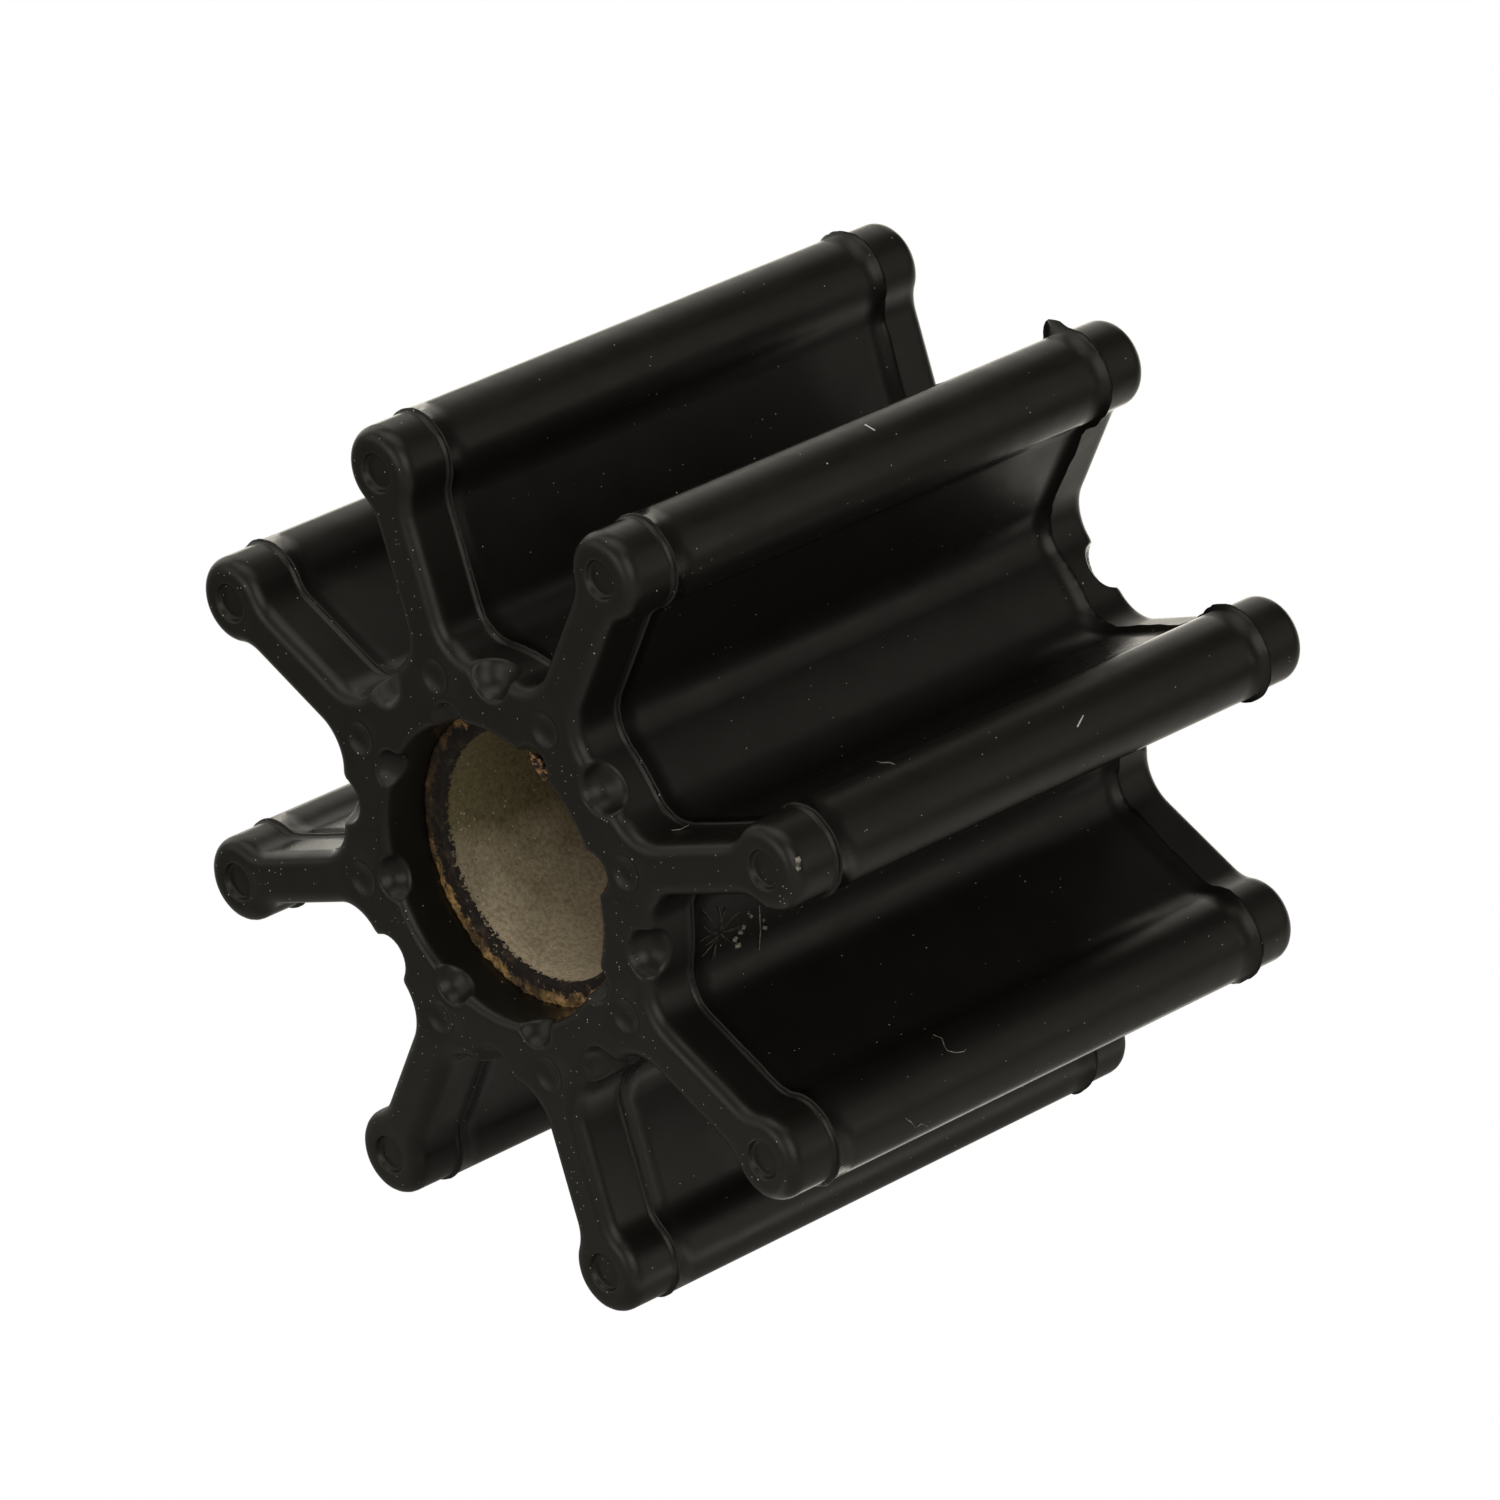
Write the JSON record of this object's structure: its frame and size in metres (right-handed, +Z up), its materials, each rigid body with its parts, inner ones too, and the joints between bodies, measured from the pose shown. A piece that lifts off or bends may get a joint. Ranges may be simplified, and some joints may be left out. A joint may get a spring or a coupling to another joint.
{
  "type": "flexible rubber pump impeller",
  "caption": "Flexible black rubber pump impeller with straight bulb-tipped blades on a hub bonded to a plain-bored metal bush.",
  "frame": {"origin": "on the bore's axis, halfway between the two end faces", "axes": "+Y along the bore, away from the front end face; +Z up as the impeller lies on two neighbouring blade tips"},
  "size_m": [0.0622, 0.0508, 0.0622],
  "materials": {
    "rubber": "satin moulded black rubber",
    "brass": "dull, with dried bonding glue on its end faces"
  },
  "bodies": {
    "root": {"rubber_body": "rubber", "bush": "brass"}
  },
  "joints": []
}
